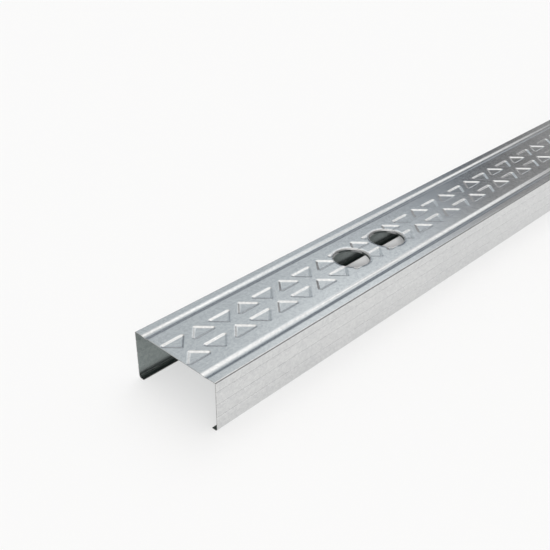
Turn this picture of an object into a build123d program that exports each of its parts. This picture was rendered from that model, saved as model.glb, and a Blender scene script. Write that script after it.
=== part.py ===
from build123d import *
import os

os.makedirs("parts", exist_ok=True)

# Steel stud for a plasterboard wall: one strip of thin galvanised sheet, roll-formed into a C.
# It lies as it would on a floor, with its web up and its two lips down.
# The origin is under the middle of the web, on the floor, and the length runs along X.

# The sheet and the C that it is bent into
length = 3000.0
web_width = 98.8
flange_depth = 48.0
lip_width = 6.0
sheet = 0.6
bend_radius = 1.5
lip_bend_radius = 2.6

# The two stiffening grooves along the web, pressed inward
web_groove_inset = 12.6
web_groove_width = 8.4
web_groove_depth = 1.0
web_groove_rounding = 11.5

# The fine grooves along each flange, which stop a screw from wandering
flange_groove_count = 3
flange_groove_inset = 10.0
flange_groove_pitch = 12.3
flange_groove_width = 2.4
flange_groove_depth = 0.5
flange_groove_rounding = 0.8

# The service holes, in pairs at both ends and at the middle, each rim turned down into a collar
hole_radius = 17.5
hole_spacing = 56.3
hole_pair_inset = 251.4
collar_bend_radius = 1.5
collar_depth = 3.6

# The two rows of pressed triangles, which point inward and outward by turns.
# Their base and height are those of the sharp triangle, before its corners are rounded.
triangle_base = 30.0
triangle_height = 16.2
triangle_corner = 2.2
triangle_slope = 2.0
triangle_depth = 0.8
triangle_pitch = 25.9
row_inner_edge = 4.9
row_outer_edge = 18.5
triangle_clearance = 0.5


def groove(centre, width, depth):
    """A shallow V across a face: its three corners, as distances along the face and below it."""
    return [(centre - width / 2, 0), (centre, depth), (centre + width / 2, 0)]


# Half of the C's outer outline, from the middle of the web, round the flange, to the tip of the lip
half_web = web_width / 2
half_path = []
half_radii = []
for across, down in groove(half_web - web_groove_inset, web_groove_width, web_groove_depth):
    half_path.append((across, flange_depth - down))
    half_radii.append(web_groove_rounding)
half_path.append((half_web, flange_depth))
half_radii.append(bend_radius)
for n in range(flange_groove_count):
    centre = flange_groove_inset + n * flange_groove_pitch
    for along, inward in groove(centre, flange_groove_width, flange_groove_depth):
        half_path.append((half_web - inward, flange_depth - along))
        half_radii.append(flange_groove_rounding)
half_path.append((half_web, 0))
half_radii.append(lip_bend_radius)
half_path.append((half_web - lip_width, 0))

mirrored_path = [(-across, height) for across, height in reversed(half_path)]
outer_path = mirrored_path + half_path
outer_radii = half_radii[::-1] + half_radii

# Where the service holes stand along the web's middle line
end_pair = length / 2 - hole_pair_inset
hole_places = [pair + side * hole_spacing / 2 for pair in (-end_pair, 0, end_pair) for side in (-1, 1)]

# The turned-down rim of a hole: a bend, then a short straight wall
bend_start = hole_radius + collar_bend_radius
with BuildPart() as collar:
    with BuildSketch(Plane.XZ):
        with BuildLine():
            FilletPolyline(
                (bend_start + sheet, flange_depth),
                (hole_radius, flange_depth),
                (hole_radius, flange_depth - collar_depth),
                radius=collar_bend_radius,
            )
            offset(amount=sheet, side=Side.LEFT)
        make_face()
    revolve(axis=Axis.Z)

# The tool that presses one triangle: its rim at Z = 0, its flat floor below, and room above
with BuildPart() as press:
    with BuildSketch(Plane.XY.offset(sheet / 2)) as rim:
        Polygon(
            (-triangle_base / 2, 0),
            (triangle_base / 2, 0),
            (0, triangle_height),
            align=None,
        )
        fillet(rim.vertices(), triangle_corner)
    extrude(amount=-(triangle_depth + sheet / 2))
    tool_floor = press.faces().sort_by(Axis.Z)[0]
    chamfer(
        tool_floor.edges(),
        length=triangle_slope,
        length2=triangle_depth,
        reference=tool_floor,
    )

# Where the triangles stand, leaving out those that a collar would cut
press_places = []
for n in range(int(length // triangle_pitch)):
    along = (n + 0.5) * triangle_pitch - length / 2
    points_inward = n % 2 == 0
    base_line = row_outer_edge if points_inward else row_inner_edge
    for side in (-1, 1):
        turn = 0 if points_inward == (side < 0) else 180
        footprint = rim.sketch.moved(Location((along, side * base_line, 0), (0, 0, turn)))
        nearest = min(footprint.distance_to(Vector(x, 0, sheet / 2)) for x in hole_places)
        if nearest > bend_start + triangle_clearance:
            press_places.append(Location((along, side * base_line, flange_depth), (0, 0, turn)))

# The stud: the C, its holes and their collars, and the triangles at the sheet's own thickness
with BuildPart() as stud:
    with BuildSketch(Plane.YZ.offset(-length / 2)):
        with BuildLine():
            FilletPolyline(*outer_path, radius=outer_radii)
            offset(amount=sheet, side=Side.RIGHT)
        make_face()
    extrude(amount=length)
    with BuildSketch(Plane.XY.offset(flange_depth)):
        with Locations(*[(x, 0) for x in hole_places]):
            Circle(bend_start)
    extrude(amount=-sheet, mode=Mode.SUBTRACT)
    with Locations(*[(x, 0) for x in hole_places]):
        add(collar.part)
    with Locations(*[place * Pos(0, 0, -sheet) for place in press_places]):
        add(press.part)
    with Locations(*press_places):
        add(press.part, mode=Mode.SUBTRACT)

stud.part.label = "stud"
export_step(stud.part, "parts/stud.step")
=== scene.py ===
import math

import bpy
import numpy as np
from mathutils import Matrix, Vector
from mathutils.geometry import delaunay_2d_cdt


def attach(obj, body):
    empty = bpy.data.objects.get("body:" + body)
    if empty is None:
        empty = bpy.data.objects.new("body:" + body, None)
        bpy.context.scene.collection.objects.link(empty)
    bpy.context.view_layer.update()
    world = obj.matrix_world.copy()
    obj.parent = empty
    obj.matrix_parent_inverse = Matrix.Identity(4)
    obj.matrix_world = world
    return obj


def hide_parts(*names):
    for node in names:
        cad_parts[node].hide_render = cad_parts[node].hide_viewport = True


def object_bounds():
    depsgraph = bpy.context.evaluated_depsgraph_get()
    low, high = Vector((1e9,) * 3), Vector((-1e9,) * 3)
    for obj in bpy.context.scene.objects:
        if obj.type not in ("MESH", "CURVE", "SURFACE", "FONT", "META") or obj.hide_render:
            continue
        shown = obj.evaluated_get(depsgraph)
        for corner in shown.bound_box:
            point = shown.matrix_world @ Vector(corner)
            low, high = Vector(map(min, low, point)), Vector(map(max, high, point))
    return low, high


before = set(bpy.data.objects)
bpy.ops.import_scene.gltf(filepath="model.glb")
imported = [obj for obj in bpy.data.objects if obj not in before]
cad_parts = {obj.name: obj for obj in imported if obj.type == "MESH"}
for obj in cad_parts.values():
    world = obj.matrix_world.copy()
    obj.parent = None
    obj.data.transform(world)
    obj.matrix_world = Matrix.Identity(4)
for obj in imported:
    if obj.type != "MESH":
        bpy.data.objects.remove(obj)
solid_low, solid_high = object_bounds()


# The camera looks down along the stud from beside its near end, as in the photograph.
# Its place and angles come from the stud's corners, edges and holes there.
camera_place = (-1.8132, -0.4091, 0.4274)
camera_heading = 43.62
camera_looks_down = 30.83
camera_roll = 0.44
camera_lens = 52.17
camera_sensor = 36.0
camera_near_limit = 0.01
camera_far_limit = 100.0

camera_data = bpy.data.cameras.new("camera")
camera_data.lens = camera_lens
camera_data.sensor_width = camera_sensor
camera_data.clip_start = camera_near_limit
camera_data.clip_end = camera_far_limit
camera = bpy.data.objects.new("camera", camera_data)
camera_turn = (
    Matrix.Rotation(math.radians(camera_heading - 90.0), 4, "Z")
    @ Matrix.Rotation(math.radians(90.0 - camera_looks_down), 4, "X")
    @ Matrix.Rotation(math.radians(camera_roll), 4, "Z")
)
camera.matrix_world = Matrix.Translation(camera_place) @ camera_turn
bpy.context.scene.collection.objects.link(camera)
bpy.context.scene.camera = camera
bpy.context.scene.view_settings.view_transform = "Standard"


# The stud is one strip of 0.6 mm galvanised sheet, rolled into a C with a lip on each flange.
# The rolls press two grooves into the web, and three fine ones into each flange.
# The fine ones hardly show on the inner face.
mm = 0.001
sheet = 0.6 * mm
lip_width = 6.0 * mm
bend_radius = 1.5 * mm
lip_bend_radius = 2.6 * mm
web_groove_inset = 12.6 * mm
web_groove_width = 8.4 * mm
web_groove_depth = 1.0 * mm
web_groove_rounding = 11.5 * mm
flange_grooves = 3
flange_groove_inset = 10.0 * mm
flange_groove_pitch = 12.3 * mm
flange_groove_width = 2.4 * mm
flange_groove_depth = 0.5 * mm
flange_groove_rounding = 0.8 * mm
flange_groove_shows_inside = 0.2
steps_in_full_turn = 40
least_steps_in_bend = 5

stud_start = solid_low.x
stud_end = solid_high.x
half_web = solid_high.y
web_top = solid_high.z
band_half = 25.0 * mm


def left_turn(before, after):
    """The angle from one direction to the next, positive to the left."""
    return math.atan2(float(before[0] * after[1] - before[1] * after[0]), float(before @ after))


def rounded_outline(corners, radii):
    """The points of an outline whose corners are rounded, and its normals, left of the way it runs."""
    corners = [np.array(corner, float) for corner in corners]
    runs = [(b - a) / np.linalg.norm(b - a) for a, b in zip(corners, corners[1:])]
    left_of = [np.array((-run[1], run[0])) for run in runs]
    points = [corners[0]]
    normals = [left_of[0]]
    for n, (corner, radius) in enumerate(zip(corners[1:-1], radii)):
        bend = left_turn(runs[n], runs[n + 1])
        side = math.copysign(1.0, bend)
        start = corner - runs[n] * radius * math.tan(abs(bend) / 2)
        centre = start + left_of[n] * side * radius
        steps = max(least_steps_in_bend, round(steps_in_full_turn * abs(bend) / (2 * math.pi)))
        for step in range(steps + 1):
            angle = bend * step / steps
            cosine, sine = math.cos(angle), math.sin(angle)
            across, up = left_of[n]
            turned = np.array((cosine * across - sine * up, sine * across + cosine * up))
            points.append(centre - turned * side * radius)
            normals.append(turned)
    points.append(corners[-1])
    normals.append(left_of[-1])
    return np.array(points), np.array(normals)


def groove_corners(centre, width, depth):
    """The three corners of a shallow V, as distances along a face and below it."""
    return [(centre - width / 2, 0.0), (centre, depth), (centre + width / 2, 0.0)]


def half_section(fine_groove_depth):
    """One side of the C, from the flat middle of the web round to the tip of its lip."""
    corners = [(band_half, web_top)]
    radii = []
    web_groove = half_web - web_groove_inset
    for across, down in groove_corners(web_groove, web_groove_width, web_groove_depth):
        corners.append((across, web_top - down))
        radii.append(web_groove_rounding)
    corners.append((half_web, web_top))
    radii.append(bend_radius)
    for n in range(flange_grooves):
        centre = flange_groove_inset + n * flange_groove_pitch
        for along, inward in groove_corners(centre, flange_groove_width, fine_groove_depth):
            corners.append((half_web - inward, web_top - along))
            radii.append(flange_groove_rounding)
    corners.append((half_web, 0.0))
    radii.append(lip_bend_radius)
    corners.append((half_web - lip_width, 0.0))
    return rounded_outline(corners, radii)


class BentSheet:
    """The strip's outer face: each point with its normal, the point and normal behind it, and the faces."""

    def __init__(self):
        self.rows = []
        self.faces = []

    def add(self, points, normals, faces, inner_points=None, inner_normals=None):
        """More of the strip. Its inner face lies one thickness behind, unless it is given."""
        if inner_points is None:
            inner_points = np.array(points) - np.array(normals) * sheet
            inner_normals = normals
        first = len(self.rows)
        for row in zip(points, normals, inner_points, inner_normals):
            self.rows.append(tuple(map(tuple, row)))
        self.faces += [tuple(first + corner for corner in face) for face in faces]

    def joined(self, apart=0.005 * mm):
        """The same faces with the points that lie together made one."""
        number = {}
        kept = []
        index = []
        for row in self.rows:
            key = tuple(round(c / apart) for c in row[0])
            if key not in number:
                number[key] = len(kept)
                kept.append(row)
            index.append(number[key])
        faces = []
        for face in self.faces:
            corners = [index[c] for c in face]
            corners = [c for n, c in enumerate(corners) if c != corners[n - 1]]
            if len(corners) > 2:
                faces.append(tuple(corners))
        return [np.array(column) for column in zip(*kept)], faces


# Two rows of triangles are pressed into the flat middle of the web, to stiffen it.
# They point to the middle and to the flanges by turns. The rims of the holes flatten those they meet.
triangle_base = 30.0 * mm
triangle_height = 16.2 * mm
triangle_corner = 2.2 * mm
triangle_slope = 2.0 * mm
triangle_depth = 0.8 * mm
triangle_pitch = 25.9 * mm
row_inner_edge = 4.9 * mm
row_outer_edge = 18.5 * mm
press_rounding = 0.7 * mm
smallest_corner = 0.02 * mm
slope_steps = (0.0, 0.12, 0.26, 0.42, 0.58, 0.74, 0.88, 1.0)
corner_steps = 3


def eased(share):
    """A share from 0 to 1 that starts and ends softly."""
    share = np.clip(share, 0.0, 1.0)
    return share * share * (3 - 2 * share)


def inset_corners(inset):
    """A triangle's corners when each of its sides is moved in by the same distance."""
    half = triangle_base / 2
    corners = np.array([(-half, 0.0), (half, 0.0), (0.0, triangle_height)])
    lengths = np.array([np.linalg.norm(corners[(n + 1) % 3] - corners[n]) for n in range(3)])
    in_radius = triangle_base * triangle_height / lengths.sum()
    opposite = lengths[[1, 2, 0]]
    centre = (corners * opposite[:, None]).sum(axis=0) / opposite.sum()
    return centre + (corners - centre) * (1 - inset / in_radius)


def press_ring(distance):
    """The outline of a triangle at a distance inside its rim, with its corners rounded."""
    radius = triangle_corner - distance
    if radius <= smallest_corner:
        return inset_corners(distance)
    corners = inset_corners(triangle_corner)
    ring = []
    for n in range(3):
        before = corners[n] - corners[n - 1]
        after = corners[(n + 1) % 3] - corners[n]
        first = math.atan2(before[1], before[0]) - math.pi / 2
        last = math.atan2(after[1], after[0]) - math.pi / 2
        sweep = (last - first) % (2 * math.pi)
        for step in range(corner_steps + 1):
            angle = first + sweep * step / corner_steps
            ring.append(corners[n] + radius * np.array((math.cos(angle), math.sin(angle))))
    return np.array(ring)


def press_depth(points):
    """How deep a triangle is at points in its own frame, from their distance inside its rim."""
    corners = inset_corners(triangle_corner)
    inside = np.full(len(points), np.inf)
    apart = np.full(len(points), np.inf)
    for n in range(3):
        side = corners[(n + 1) % 3] - corners[n]
        length = np.linalg.norm(side)
        away = points - corners[n]
        inside = np.minimum(inside, (side[0] * away[:, 1] - side[1] * away[:, 0]) / length)
        share = np.clip(away @ side / length**2, 0.0, 1.0)
        apart = np.minimum(apart, np.linalg.norm(away - share[:, None] * side, axis=1))
    distance = triangle_corner + np.where(inside > 0, apart, -apart)
    return triangle_depth * eased((distance + press_rounding) / (triangle_slope + 2 * press_rounding))


def press_frame(cell, side):
    """Where the triangle of a cell stands on one side of the web, and the sign of its axes."""
    along = stud_start + (cell + 0.5) * triangle_pitch
    inward = cell % 2 == 0
    base_line = row_outer_edge if inward else row_inner_edge
    turn = 1 if inward == (side < 0) else -1
    return np.array((along, side * base_line)), turn


# Pairs of service holes let cables and pipes through the web, near both ends and at the middle.
# Each rim is drawn down in a soft shoulder and turned into a short collar.
hole_radius = 17.5 * mm
hole_spacing = 56.3 * mm
hole_pair_inset = 251.4 * mm
collar_bend_radius = 1.5 * mm
collar_depth = 3.6 * mm
collar_flattens = 1.0 * mm
shoulder_width = 2.5 * mm
shoulder_drop = 0.17 * mm
shoulder_steps = (0.0, 0.1, 0.2, 0.3, 0.4, 0.55, 0.75, 1.0)
rim_steps = 8
hole_sides = 72
open_share_of_hole = 0.999
join_within = 1e-7
keep_what_is_inside = 1

bend_start = hole_radius + collar_bend_radius
shoulder_slope = math.atan(2 * shoulder_drop / shoulder_width)
middle = (stud_start + stud_end) / 2
hole_places = [
    pair + side * hole_spacing / 2
    for pair in (stud_start + hole_pair_inset, middle, stud_end - hole_pair_inset)
    for side in (-1, 1)
]
hole_angles = np.arange(hole_sides) * 2 * math.pi / hole_sides
hole_circle = np.column_stack((np.cos(hole_angles), np.sin(hole_angles)))


def web_height(points, cells):
    """The height of the web's outer face at points (x, y) of the pressed band."""
    down = np.zeros(len(points))
    for cell in cells:
        for side in (-1, 1):
            place, turn = press_frame(cell, side)
            down = np.maximum(down, press_depth((points - place) * turn))
    for hole in hole_places:
        reach = np.hypot(points[:, 0] - hole, points[:, 1]) - bend_start
        down = down * eased(reach / collar_flattens)
        down = down + shoulder_drop * np.maximum(1 - reach / shoulder_width, 0.0) ** 2
    return web_top - down


def web_normals(points, cells, step=0.02 * mm):
    """The web's normals there, from the height just beside each point."""
    along = np.array((step, 0.0))
    across = np.array((0.0, step))
    slope_x = (web_height(points + along, cells) - web_height(points - along, cells)) / (2 * step)
    slope_y = (web_height(points + across, cells) - web_height(points - across, cells)) / (2 * step)
    normals = np.column_stack((-slope_x, -slope_y, np.ones(len(points))))
    return normals / np.linalg.norm(normals, axis=1)[:, None]


def turned_rim(strip, hole):
    """The rim of one service hole, from the shoulder down through its bend to the foot of the collar."""
    rim_radius = collar_bend_radius / (1 - math.sin(shoulder_slope))
    profile = []
    for step in range(rim_steps + 1):
        bend = shoulder_slope + (math.pi / 2 - shoulder_slope) * step / rim_steps
        out = hole_radius + rim_radius * (1 - math.sin(bend))
        down = shoulder_drop + rim_radius * (math.cos(shoulder_slope) - math.cos(bend))
        profile.append((out, down, -math.sin(bend), math.cos(bend)))
    profile.append((hole_radius, collar_depth, -1.0, 0.0))
    points = []
    normals = []
    for out, down, normal_out, normal_up in profile:
        for x, y in hole_circle:
            points.append((hole + out * x, out * y, web_top - down))
            normals.append((normal_out * x, normal_out * y, normal_up))
    faces = []
    for ring in range(len(profile) - 1):
        upper = ring * hole_sides
        lower = upper + hole_sides
        for n in range(hole_sides):
            after = (n + 1) % hole_sides
            faces.append((upper + n, upper + after, lower + after, lower + n))
    strip.add(points, normals, faces)


def pressed_band(strip, cells, x_from, x_to):
    """The flat middle of the web over some cells of the pattern, with its triangles and holes."""
    points = [(x_from, -band_half), (x_to, -band_half), (x_to, band_half), (x_from, band_half)]
    edges = [(0, 1), (1, 2), (2, 3), (3, 0)]

    def add_ring(ring):
        start = len(points)
        points.extend((float(x), float(y)) for x, y in ring)
        edges.extend((start + n, start + (n + 1) % len(ring)) for n in range(len(ring)))

    for cell in cells:
        for side in (-1, 1):
            place, turn = press_frame(cell, side)
            for share in slope_steps:
                distance = share * (triangle_slope + 2 * press_rounding) - press_rounding
                add_ring(place + turn * press_ring(distance))
    holes_here = [x for x in hole_places if x_from < x < x_to]
    for hole in holes_here:
        for share in shoulder_steps:
            add_ring(np.array((hole, 0.0)) + hole_circle * (bend_start + share * shoulder_width))
    corners = [Vector(point) for point in points]
    found, _, faces, *_ = delaunay_2d_cdt(corners, edges, [], keep_what_is_inside, join_within)
    flat = np.array([(p.x, p.y) for p in found])
    open_radius = bend_start * open_share_of_hole
    kept = []
    for face in faces:
        centre = flat[list(face)].mean(axis=0)
        if all(np.hypot(centre[0] - hole, centre[1]) > open_radius for hole in holes_here):
            kept.append(face)
    strip.add(np.column_stack((flat, web_height(flat, cells))), web_normals(flat, cells), kept)
    for hole in holes_here:
        turned_rim(strip, hole)


# The strip is put together from its pressed middle and the section that is rolled along each side.
# It has one outer face, one inner face and the thin edges where it is cut, all one closed mesh.
cells_per_block = 5


def rolled_side(strip, side, places):
    """One side of the C, drawn out along the stud from place to place."""
    outline, outline_normals = half_section(flange_groove_depth)
    behind, behind_normals = half_section(flange_groove_depth * flange_groove_shows_inside)
    behind = behind - behind_normals * sheet
    rolled = [
        [(x, side * across, height) for x in places for across, height in rows]
        for rows in (outline, behind)
    ]
    turned = [
        [(0.0, side * across, height) for x in places for across, height in rows]
        for rows in (outline_normals, behind_normals)
    ]
    count = len(outline)
    faces = []
    for block in range(len(places) - 1):
        for n in range(count - 1):
            a = block * count + n
            b = a + count
            faces.append((a, b, b + 1, a + 1) if side > 0 else (a, a + 1, b + 1, b))
    strip.add(rolled[0], turned[0], faces, rolled[1], turned[1])


def outer_face():
    """The whole outer face of the stud, in blocks of a few triangles each."""
    strip = BentSheet()
    cells = int((stud_end - stud_start) // triangle_pitch)
    places = [stud_start]
    for first in range(0, cells, cells_per_block):
        last = min(first + cells_per_block, cells)
        block_end = stud_end if last == cells else stud_start + last * triangle_pitch
        pressed_band(strip, range(first, last), places[-1], block_end)
        places.append(block_end)
    for side in (-1, 1):
        rolled_side(strip, side, places)
    return strip.joined()


def thickened(points, normals, inner, inner_normals, faces):
    """The sheet with both its faces and its cut edges, and a normal for each corner of each face."""
    count = len(points)
    all_points = np.vstack((points, inner))
    all_faces = list(faces)
    corner_normals = [normals[c] for face in faces for c in face]
    for face in faces:
        all_faces.append(tuple(c + count for c in reversed(face)))
        corner_normals += [-inner_normals[c] for c in reversed(face)]
    edges = {(face[n - 1], face[n]) for face in faces for n in range(len(face))}
    for a, b in sorted(edges):
        if (b, a) not in edges:
            quad = (b, a, a + count, b + count)
            along = all_points[quad[1]] - all_points[quad[0]]
            through = all_points[quad[2]] - all_points[quad[1]]
            way = np.cross(along, through)
            all_faces.append(quad)
            corner_normals += [way / np.linalg.norm(way)] * 4
    return all_points, all_faces, corner_normals


strip_sides, outer_faces = outer_face()
stud_points, stud_faces, stud_normals = thickened(*strip_sides, outer_faces)
stud_mesh = bpy.data.meshes.new("stud_sheet")
stud_mesh.from_pydata([tuple(p) for p in stud_points], [], stud_faces)
stud_mesh.polygons.foreach_set("use_smooth", [True] * len(stud_mesh.polygons))
stud_mesh.normals_split_custom_set([tuple(n) for n in stud_normals])
stud_mesh.validate()
stud = bpy.data.objects.new("stud_sheet", stud_mesh)
bpy.context.scene.collection.objects.link(stud)


# The strip is dipped in zinc before it is rolled, which leaves a very fine spangle and faint rolling lines.
# The inner face is the same zinc, but its colour is painted darker as painted shade for the dark inside of
# the C. The cut edges are bare steel.
outside_finish = {
    "name": "galvanised_zinc",
    "bright": (0.735, 0.74, 0.735, 1.0),
    "dull": (0.61, 0.615, 0.62, 1.0),
    "roughness": 0.17,
}
# The inner face's bright and dull colours are painted shade: the same zinc, darkened for the shade inside
# the C.
inside_painted_shade_finish = {
    "name": "galvanised_zinc_inside_painted_shade",
    "bright": (0.335, 0.37, 0.36, 1.0),
    "dull": (0.245, 0.275, 0.27, 1.0),
    "roughness": 0.33,
}
cut_finish = {
    "name": "bare_cut_edge",
    "bright": (0.40, 0.395, 0.385, 1.0),
    "dull": (0.30, 0.30, 0.295, 1.0),
    "roughness": 0.42,
}
fleck_scale = 900.0
fleck_detail = 2.0
fleck_roughness = 0.6
line_scale = 420.0
line_detail = 3.0
line_squeeze_along = 0.012
spangle_scale = 520.0
smudge_scale = 14.0
smudge_detail = 4.0
tone_shares = {"crystal": 0.6, "fleck": 1.2, "line": 0.6, "smudge": 0.5}
roughness_shares = {"crystal": 0.04, "fleck": 0.04, "smudge": -0.10}
relief_shares = {"fleck": 1.0, "line": 0.6, "crystal": 0.15}
middle_of_noise = 0.5
relief_strength = 0.11
relief_height = 0.03 * mm


def sheet_surface_group():
    """The surface of galvanised sheet: its colour, its roughness and its fine relief."""
    group = bpy.data.node_groups.new("galvanised_surface", "ShaderNodeTree")
    face = group.interface
    face.new_socket("Bright", in_out="INPUT", socket_type="NodeSocketColor")
    face.new_socket("Dull", in_out="INPUT", socket_type="NodeSocketColor")
    face.new_socket("Mean Roughness", in_out="INPUT", socket_type="NodeSocketFloat")
    face.new_socket("Color", in_out="OUTPUT", socket_type="NodeSocketColor")
    face.new_socket("Roughness", in_out="OUTPUT", socket_type="NodeSocketFloat")
    face.new_socket("Relief", in_out="OUTPUT", socket_type="NodeSocketFloat")
    nodes, link = group.nodes, group.links.new
    given = nodes.new("NodeGroupInput")
    result = nodes.new("NodeGroupOutput")
    place = nodes.new("ShaderNodeTexCoord")

    def noise(vector, scale, detail):
        texture = nodes.new("ShaderNodeTexNoise")
        texture.inputs["Scale"].default_value = scale
        texture.inputs["Detail"].default_value = detail
        link(vector, texture.inputs["Vector"])
        return texture

    def weighted(parts, base):
        """A sum of values, each by its own share, on top of a base value."""
        total = None
        for value, share in parts:
            step = nodes.new("ShaderNodeMath")
            step.operation = "MULTIPLY_ADD"
            step.inputs[1].default_value = share
            link(value, step.inputs[0])
            if total is None:
                step.inputs[2].default_value = base
            else:
                link(total, step.inputs[2])
            total = step.outputs["Value"]
        return total

    fleck_texture = noise(place.outputs["Object"], fleck_scale, fleck_detail)
    fleck_texture.inputs["Roughness"].default_value = fleck_roughness
    fleck = fleck_texture.outputs["Fac"]
    squeezed = nodes.new("ShaderNodeVectorMath")
    squeezed.operation = "MULTIPLY"
    squeezed.inputs[1].default_value = (line_squeeze_along, 1.0, 1.0)
    link(place.outputs["Object"], squeezed.inputs[0])
    line = noise(squeezed.outputs["Vector"], line_scale, line_detail).outputs["Fac"]
    smudge = noise(place.outputs["Object"], smudge_scale, smudge_detail).outputs["Fac"]
    spangle = nodes.new("ShaderNodeTexVoronoi")
    spangle.inputs["Scale"].default_value = spangle_scale
    link(place.outputs["Object"], spangle.inputs["Vector"])
    crystal = nodes.new("ShaderNodeSeparateColor")
    link(spangle.outputs["Color"], crystal.inputs["Color"])

    tone_parts = (
        (crystal.outputs["Red"], tone_shares["crystal"]),
        (fleck, tone_shares["fleck"]),
        (line, tone_shares["line"]),
        (smudge, tone_shares["smudge"]),
    )
    tone_base = (1 - sum(tone_shares.values())) * middle_of_noise
    tone = nodes.new("ShaderNodeMix")
    tone.data_type = "RGBA"
    link(given.outputs["Dull"], tone.inputs["A"])
    link(given.outputs["Bright"], tone.inputs["B"])
    link(weighted(tone_parts, tone_base), tone.inputs["Factor"])
    link(tone.outputs["Result"], result.inputs["Color"])

    rough_parts = (
        (given.outputs["Mean Roughness"], 1.0),
        (crystal.outputs["Green"], roughness_shares["crystal"]),
        (fleck, roughness_shares["fleck"]),
        (smudge, roughness_shares["smudge"]),
    )
    rough_base = -sum(roughness_shares.values()) * middle_of_noise
    link(weighted(rough_parts, rough_base), result.inputs["Roughness"])

    relief_parts = (
        (fleck, relief_shares["fleck"]),
        (line, relief_shares["line"]),
        (crystal.outputs["Blue"], relief_shares["crystal"]),
    )
    link(weighted(relief_parts, 0.0), result.inputs["Relief"])
    return group


galvanised_surface = sheet_surface_group()


def sheet_material(finish):
    """One finish of the sheet."""
    material = bpy.data.materials.new(finish["name"])
    material.use_nodes = True
    nodes, link = material.node_tree.nodes, material.node_tree.links.new
    surface = nodes["Principled BSDF"]
    surface.inputs["Metallic"].default_value = 1.0
    group = nodes.new("ShaderNodeGroup")
    group.node_tree = galvanised_surface
    group.inputs["Bright"].default_value = finish["bright"]
    group.inputs["Dull"].default_value = finish["dull"]
    group.inputs["Mean Roughness"].default_value = finish["roughness"]
    link(group.outputs["Color"], surface.inputs["Base Color"])
    link(group.outputs["Roughness"], surface.inputs["Roughness"])
    relief = nodes.new("ShaderNodeBump")
    relief.inputs["Strength"].default_value = relief_strength
    relief.inputs["Distance"].default_value = relief_height
    link(group.outputs["Relief"], relief.inputs["Height"])
    link(relief.outputs["Normal"], surface.inputs["Normal"])
    return material


for finish in (outside_finish, inside_painted_shade_finish, cut_finish):
    stud_mesh.materials.append(sheet_material(finish))
# The inner faces get the colours with painted shade, and the cut edges get bare steel.
inner_face_starts = len(outer_faces)
cut_edges_start = 2 * len(outer_faces)
for face in stud_mesh.polygons:
    face.material_index = (face.index >= inner_face_starts) + (face.index >= cut_edges_start)

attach(stud, "root")
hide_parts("stud")


# The floor is plain white studio paper that keeps the stud's shadow.
# Part of what is seen of it, also by reflection, is a plain white glow.
floor_reach = 40.0
floor_colour = (0.84, 0.84, 0.84, 1.0)
floor_glow = 0.28
floor_glow_colour = (0.97, 0.97, 0.97, 1.0)

floor_corners = [
    (-floor_reach, -floor_reach, 0.0),
    (floor_reach, -floor_reach, 0.0),
    (floor_reach, floor_reach, 0.0),
    (-floor_reach, floor_reach, 0.0),
]
floor_mesh = bpy.data.meshes.new("floor")
floor_mesh.from_pydata(floor_corners, [], [(0, 1, 2, 3)])
floor = bpy.data.objects.new("floor", floor_mesh)
bpy.context.scene.collection.objects.link(floor)


def paper_material():
    """Matt white paper, partly a glow for the rays that see it straight or by reflection."""
    material = bpy.data.materials.new("white_paper")
    material.use_nodes = True
    nodes, link = material.node_tree.nodes, material.node_tree.links.new
    nodes.clear()
    output = nodes.new("ShaderNodeOutputMaterial")
    lit = nodes.new("ShaderNodeBsdfDiffuse")
    lit.inputs["Color"].default_value = floor_colour
    glow = nodes.new("ShaderNodeEmission")
    glow.inputs["Color"].default_value = floor_glow_colour
    path = nodes.new("ShaderNodeLightPath")
    seen = path.outputs["Is Camera Ray"]
    for also in ("Is Glossy Ray", "Is Transmission Ray"):
        either = nodes.new("ShaderNodeMath")
        either.operation = "MAXIMUM"
        link(seen, either.inputs[0])
        link(path.outputs[also], either.inputs[1])
        seen = either.outputs["Value"]
    share = nodes.new("ShaderNodeMath")
    share.operation = "MULTIPLY"
    share.inputs[1].default_value = floor_glow
    link(seen, share.inputs[0])
    mix = nodes.new("ShaderNodeMixShader")
    link(share.outputs["Value"], mix.inputs["Fac"])
    link(lit.outputs["BSDF"], mix.inputs[1])
    link(glow.outputs["Emission"], mix.inputs[2])
    link(mix.outputs["Shader"], output.inputs["Surface"])
    return material


floor_mesh.materials.append(paper_material())


# The studio is a pale dome with grey walls, a tall panel beyond the stud and a few soft boxes.
# Metal shows what it reflects, so these give the web, the grooves and the rims their tones.
# Each stop of a dome, wall or panel is an elevation in degrees and the light from there.
dome_stops = (
    (0.0, (0.97, 0.97, 0.97)),
    (3.0, (0.93, 0.93, 0.93)),
    (7.5, (0.08, 0.08, 0.085)),
    (38.0, (0.09, 0.09, 0.09)),
    (50.0, (0.50, 0.49, 0.48)),
    (57.0, (0.69, 0.68, 0.66)),
    (90.0, (0.69, 0.68, 0.66)),
)
wall_stops = (
    (3.0, (0.0, 0.0, 0.0)),
    (7.5, (1.0, 1.0, 1.0)),
    (36.0, (1.0, 1.0, 1.0)),
    (46.0, (0.0, 0.0, 0.0)),
)
walls = (
    {"heading": 180.0, "full": 95.0, "fades": 105.0, "level": 0.45},
    {"heading": -40.0, "full": 34.0, "fades": 44.0, "level": 0.21},
)
panel_heading = 52.0
panel_full = 20.0
panel_fades = 26.0
panel_stops = (
    (3.0, (0.0, 0.0, 0.0)),
    (7.5, (0.30, 0.33, 0.36)),
    (15.0, (0.30, 0.33, 0.36)),
    (19.0, (0.02, 0.04, 0.07)),
    (23.0, (0.02, 0.04, 0.07)),
    (26.0, (0.38, 0.43, 0.47)),
    (29.0, (0.51, 0.56, 0.59)),
    (40.0, (0.53, 0.58, 0.61)),
    (48.0, (0.30, 0.30, 0.30)),
    (54.0, (0.0, 0.0, 0.0)),
)
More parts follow.
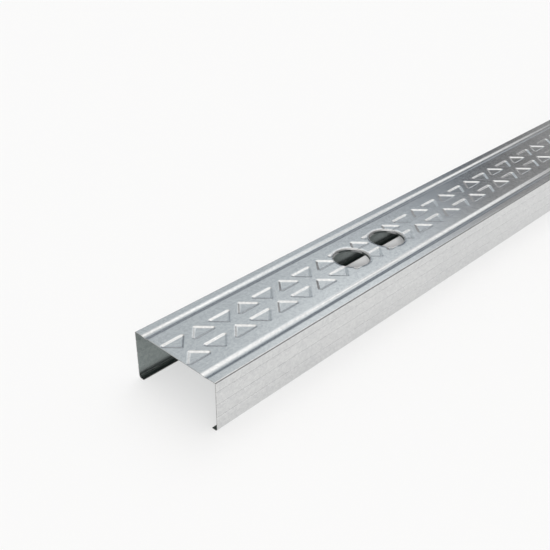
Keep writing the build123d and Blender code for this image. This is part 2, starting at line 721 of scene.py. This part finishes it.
soft_boxes = (
    {"heading": 26.0, "elevation": 43.0, "full": 13.0, "fades": 18.0, "level": 0.38},
    {"heading": 21.0, "elevation": 31.0, "full": 4.0, "fades": 9.0, "level": 0.5},
    {"heading": 15.0, "elevation": 41.0, "full": 4.0, "fades": 10.0, "level": 0.5},
    {"heading": 11.0, "elevation": 32.0, "full": 4.0, "fades": 9.0, "level": 0.35},
    {"heading": 21.0, "elevation": 13.0, "full": 6.0, "fades": 10.0, "level": 0.3},
    {"heading": 24.0, "elevation": 55.0, "full": 7.0, "fades": 15.0, "level": 0.42},
    {"heading": 65.0, "elevation": 74.0, "full": 10.0, "fades": 20.0, "level": 0.6},
    {"heading": 217.0, "elevation": 32.0, "full": 22.0, "fades": 36.0, "level": 0.55},
)
front_heading = 216.0
front_elevation = 28.5
front_level = 0.45
front_width = 5.0


def toward(heading, elevation):
    """The direction to a place in the studio, from its heading and elevation in degrees."""
    heading, elevation = math.radians(heading), math.radians(elevation)
    level = math.cos(elevation)
    return Vector((level * math.cos(heading), level * math.sin(heading), math.sin(elevation)))


def studio_world():
    """The dome, the walls, the panel and the soft boxes, all added up."""
    world = bpy.data.worlds.new("studio")
    world.use_nodes = True
    nodes, link = world.node_tree.nodes, world.node_tree.links.new
    place = nodes.new("ShaderNodeTexCoord")
    split = nodes.new("ShaderNodeSeparateXYZ")
    link(place.outputs["Generated"], split.inputs["Vector"])

    def by_elevation(stops):
        """Light that changes with the height above the horizon."""
        ramp = nodes.new("ShaderNodeValToRGB")
        while len(ramp.color_ramp.elements) < len(stops):
            ramp.color_ramp.elements.new(0.5)
        for element, (elevation, colour) in zip(ramp.color_ramp.elements, stops):
            element.position = math.sin(math.radians(elevation))
            element.color = (*colour, 1.0)
        link(split.outputs["Z"], ramp.inputs["Fac"])
        return ramp.outputs["Color"]

    def near(direction, target, full, fades):
        """1 within the full angle of a target, and 0 beyond the angle where it fades out."""
        dot = nodes.new("ShaderNodeVectorMath")
        dot.operation = "DOT_PRODUCT"
        dot.inputs[1].default_value = target
        link(direction, dot.inputs[0])
        share = nodes.new("ShaderNodeMapRange")
        share.interpolation_type = "SMOOTHSTEP"
        share.inputs["From Min"].default_value = math.cos(math.radians(fades))
        share.inputs["From Max"].default_value = math.cos(math.radians(full))
        link(dot.outputs["Value"], share.inputs["Value"])
        return share.outputs["Result"]

    def times(value, factor):
        """A value at a factor."""
        step = nodes.new("ShaderNodeMath")
        step.operation = "MULTIPLY"
        step.inputs[1].default_value = factor
        link(value, step.inputs[0])
        return step.outputs["Value"]

    def plus(light, extra, share):
        """The light so far, with a share of an extra light."""
        total = nodes.new("ShaderNodeVectorMath")
        total.operation = "MULTIPLY_ADD"
        link(extra, total.inputs[0])
        link(share, total.inputs[1])
        link(light, total.inputs[2])
        return total.outputs["Vector"]

    level_way = nodes.new("ShaderNodeVectorMath")
    level_way.operation = "MULTIPLY"
    level_way.inputs[1].default_value = (1.0, 1.0, 0.0)
    link(place.outputs["Generated"], level_way.inputs[0])
    heading = nodes.new("ShaderNodeVectorMath")
    heading.operation = "NORMALIZE"
    link(level_way.outputs["Vector"], heading.inputs[0])
    way = heading.outputs["Vector"]

    white = nodes.new("ShaderNodeRGB").outputs["Color"]
    white.default_value = (1.0, 1.0, 1.0, 1.0)
    facing = near(way, toward(panel_heading, 0.0), panel_full, panel_fades)
    light = plus(by_elevation(dome_stops), by_elevation(panel_stops), facing)
    for wall in walls:
        facing = near(way, toward(wall["heading"], 0.0), wall["full"], wall["fades"])
        light = plus(light, by_elevation(wall_stops), times(facing, wall["level"]))
    for box in soft_boxes:
        middle_of_box = toward(box["heading"], box["elevation"])
        share = near(place.outputs["Generated"], middle_of_box, box["full"], box["fades"])
        light = plus(light, white, times(share, box["level"]))
    link(light, nodes["Background"].inputs["Color"])
    return world


bpy.context.scene.world = studio_world()

front_data = bpy.data.lights.new("front_softbox", "SUN")
front_data.angle = math.radians(front_width)
front_data.energy = front_level * math.pi / math.sin(math.radians(front_elevation))
front_light = bpy.data.objects.new("front_softbox", front_data)
front_light.rotation_euler = toward(front_heading, front_elevation).to_track_quat("Z", "Y").to_euler()
front_light.visible_glossy = False
bpy.context.scene.collection.objects.link(front_light)
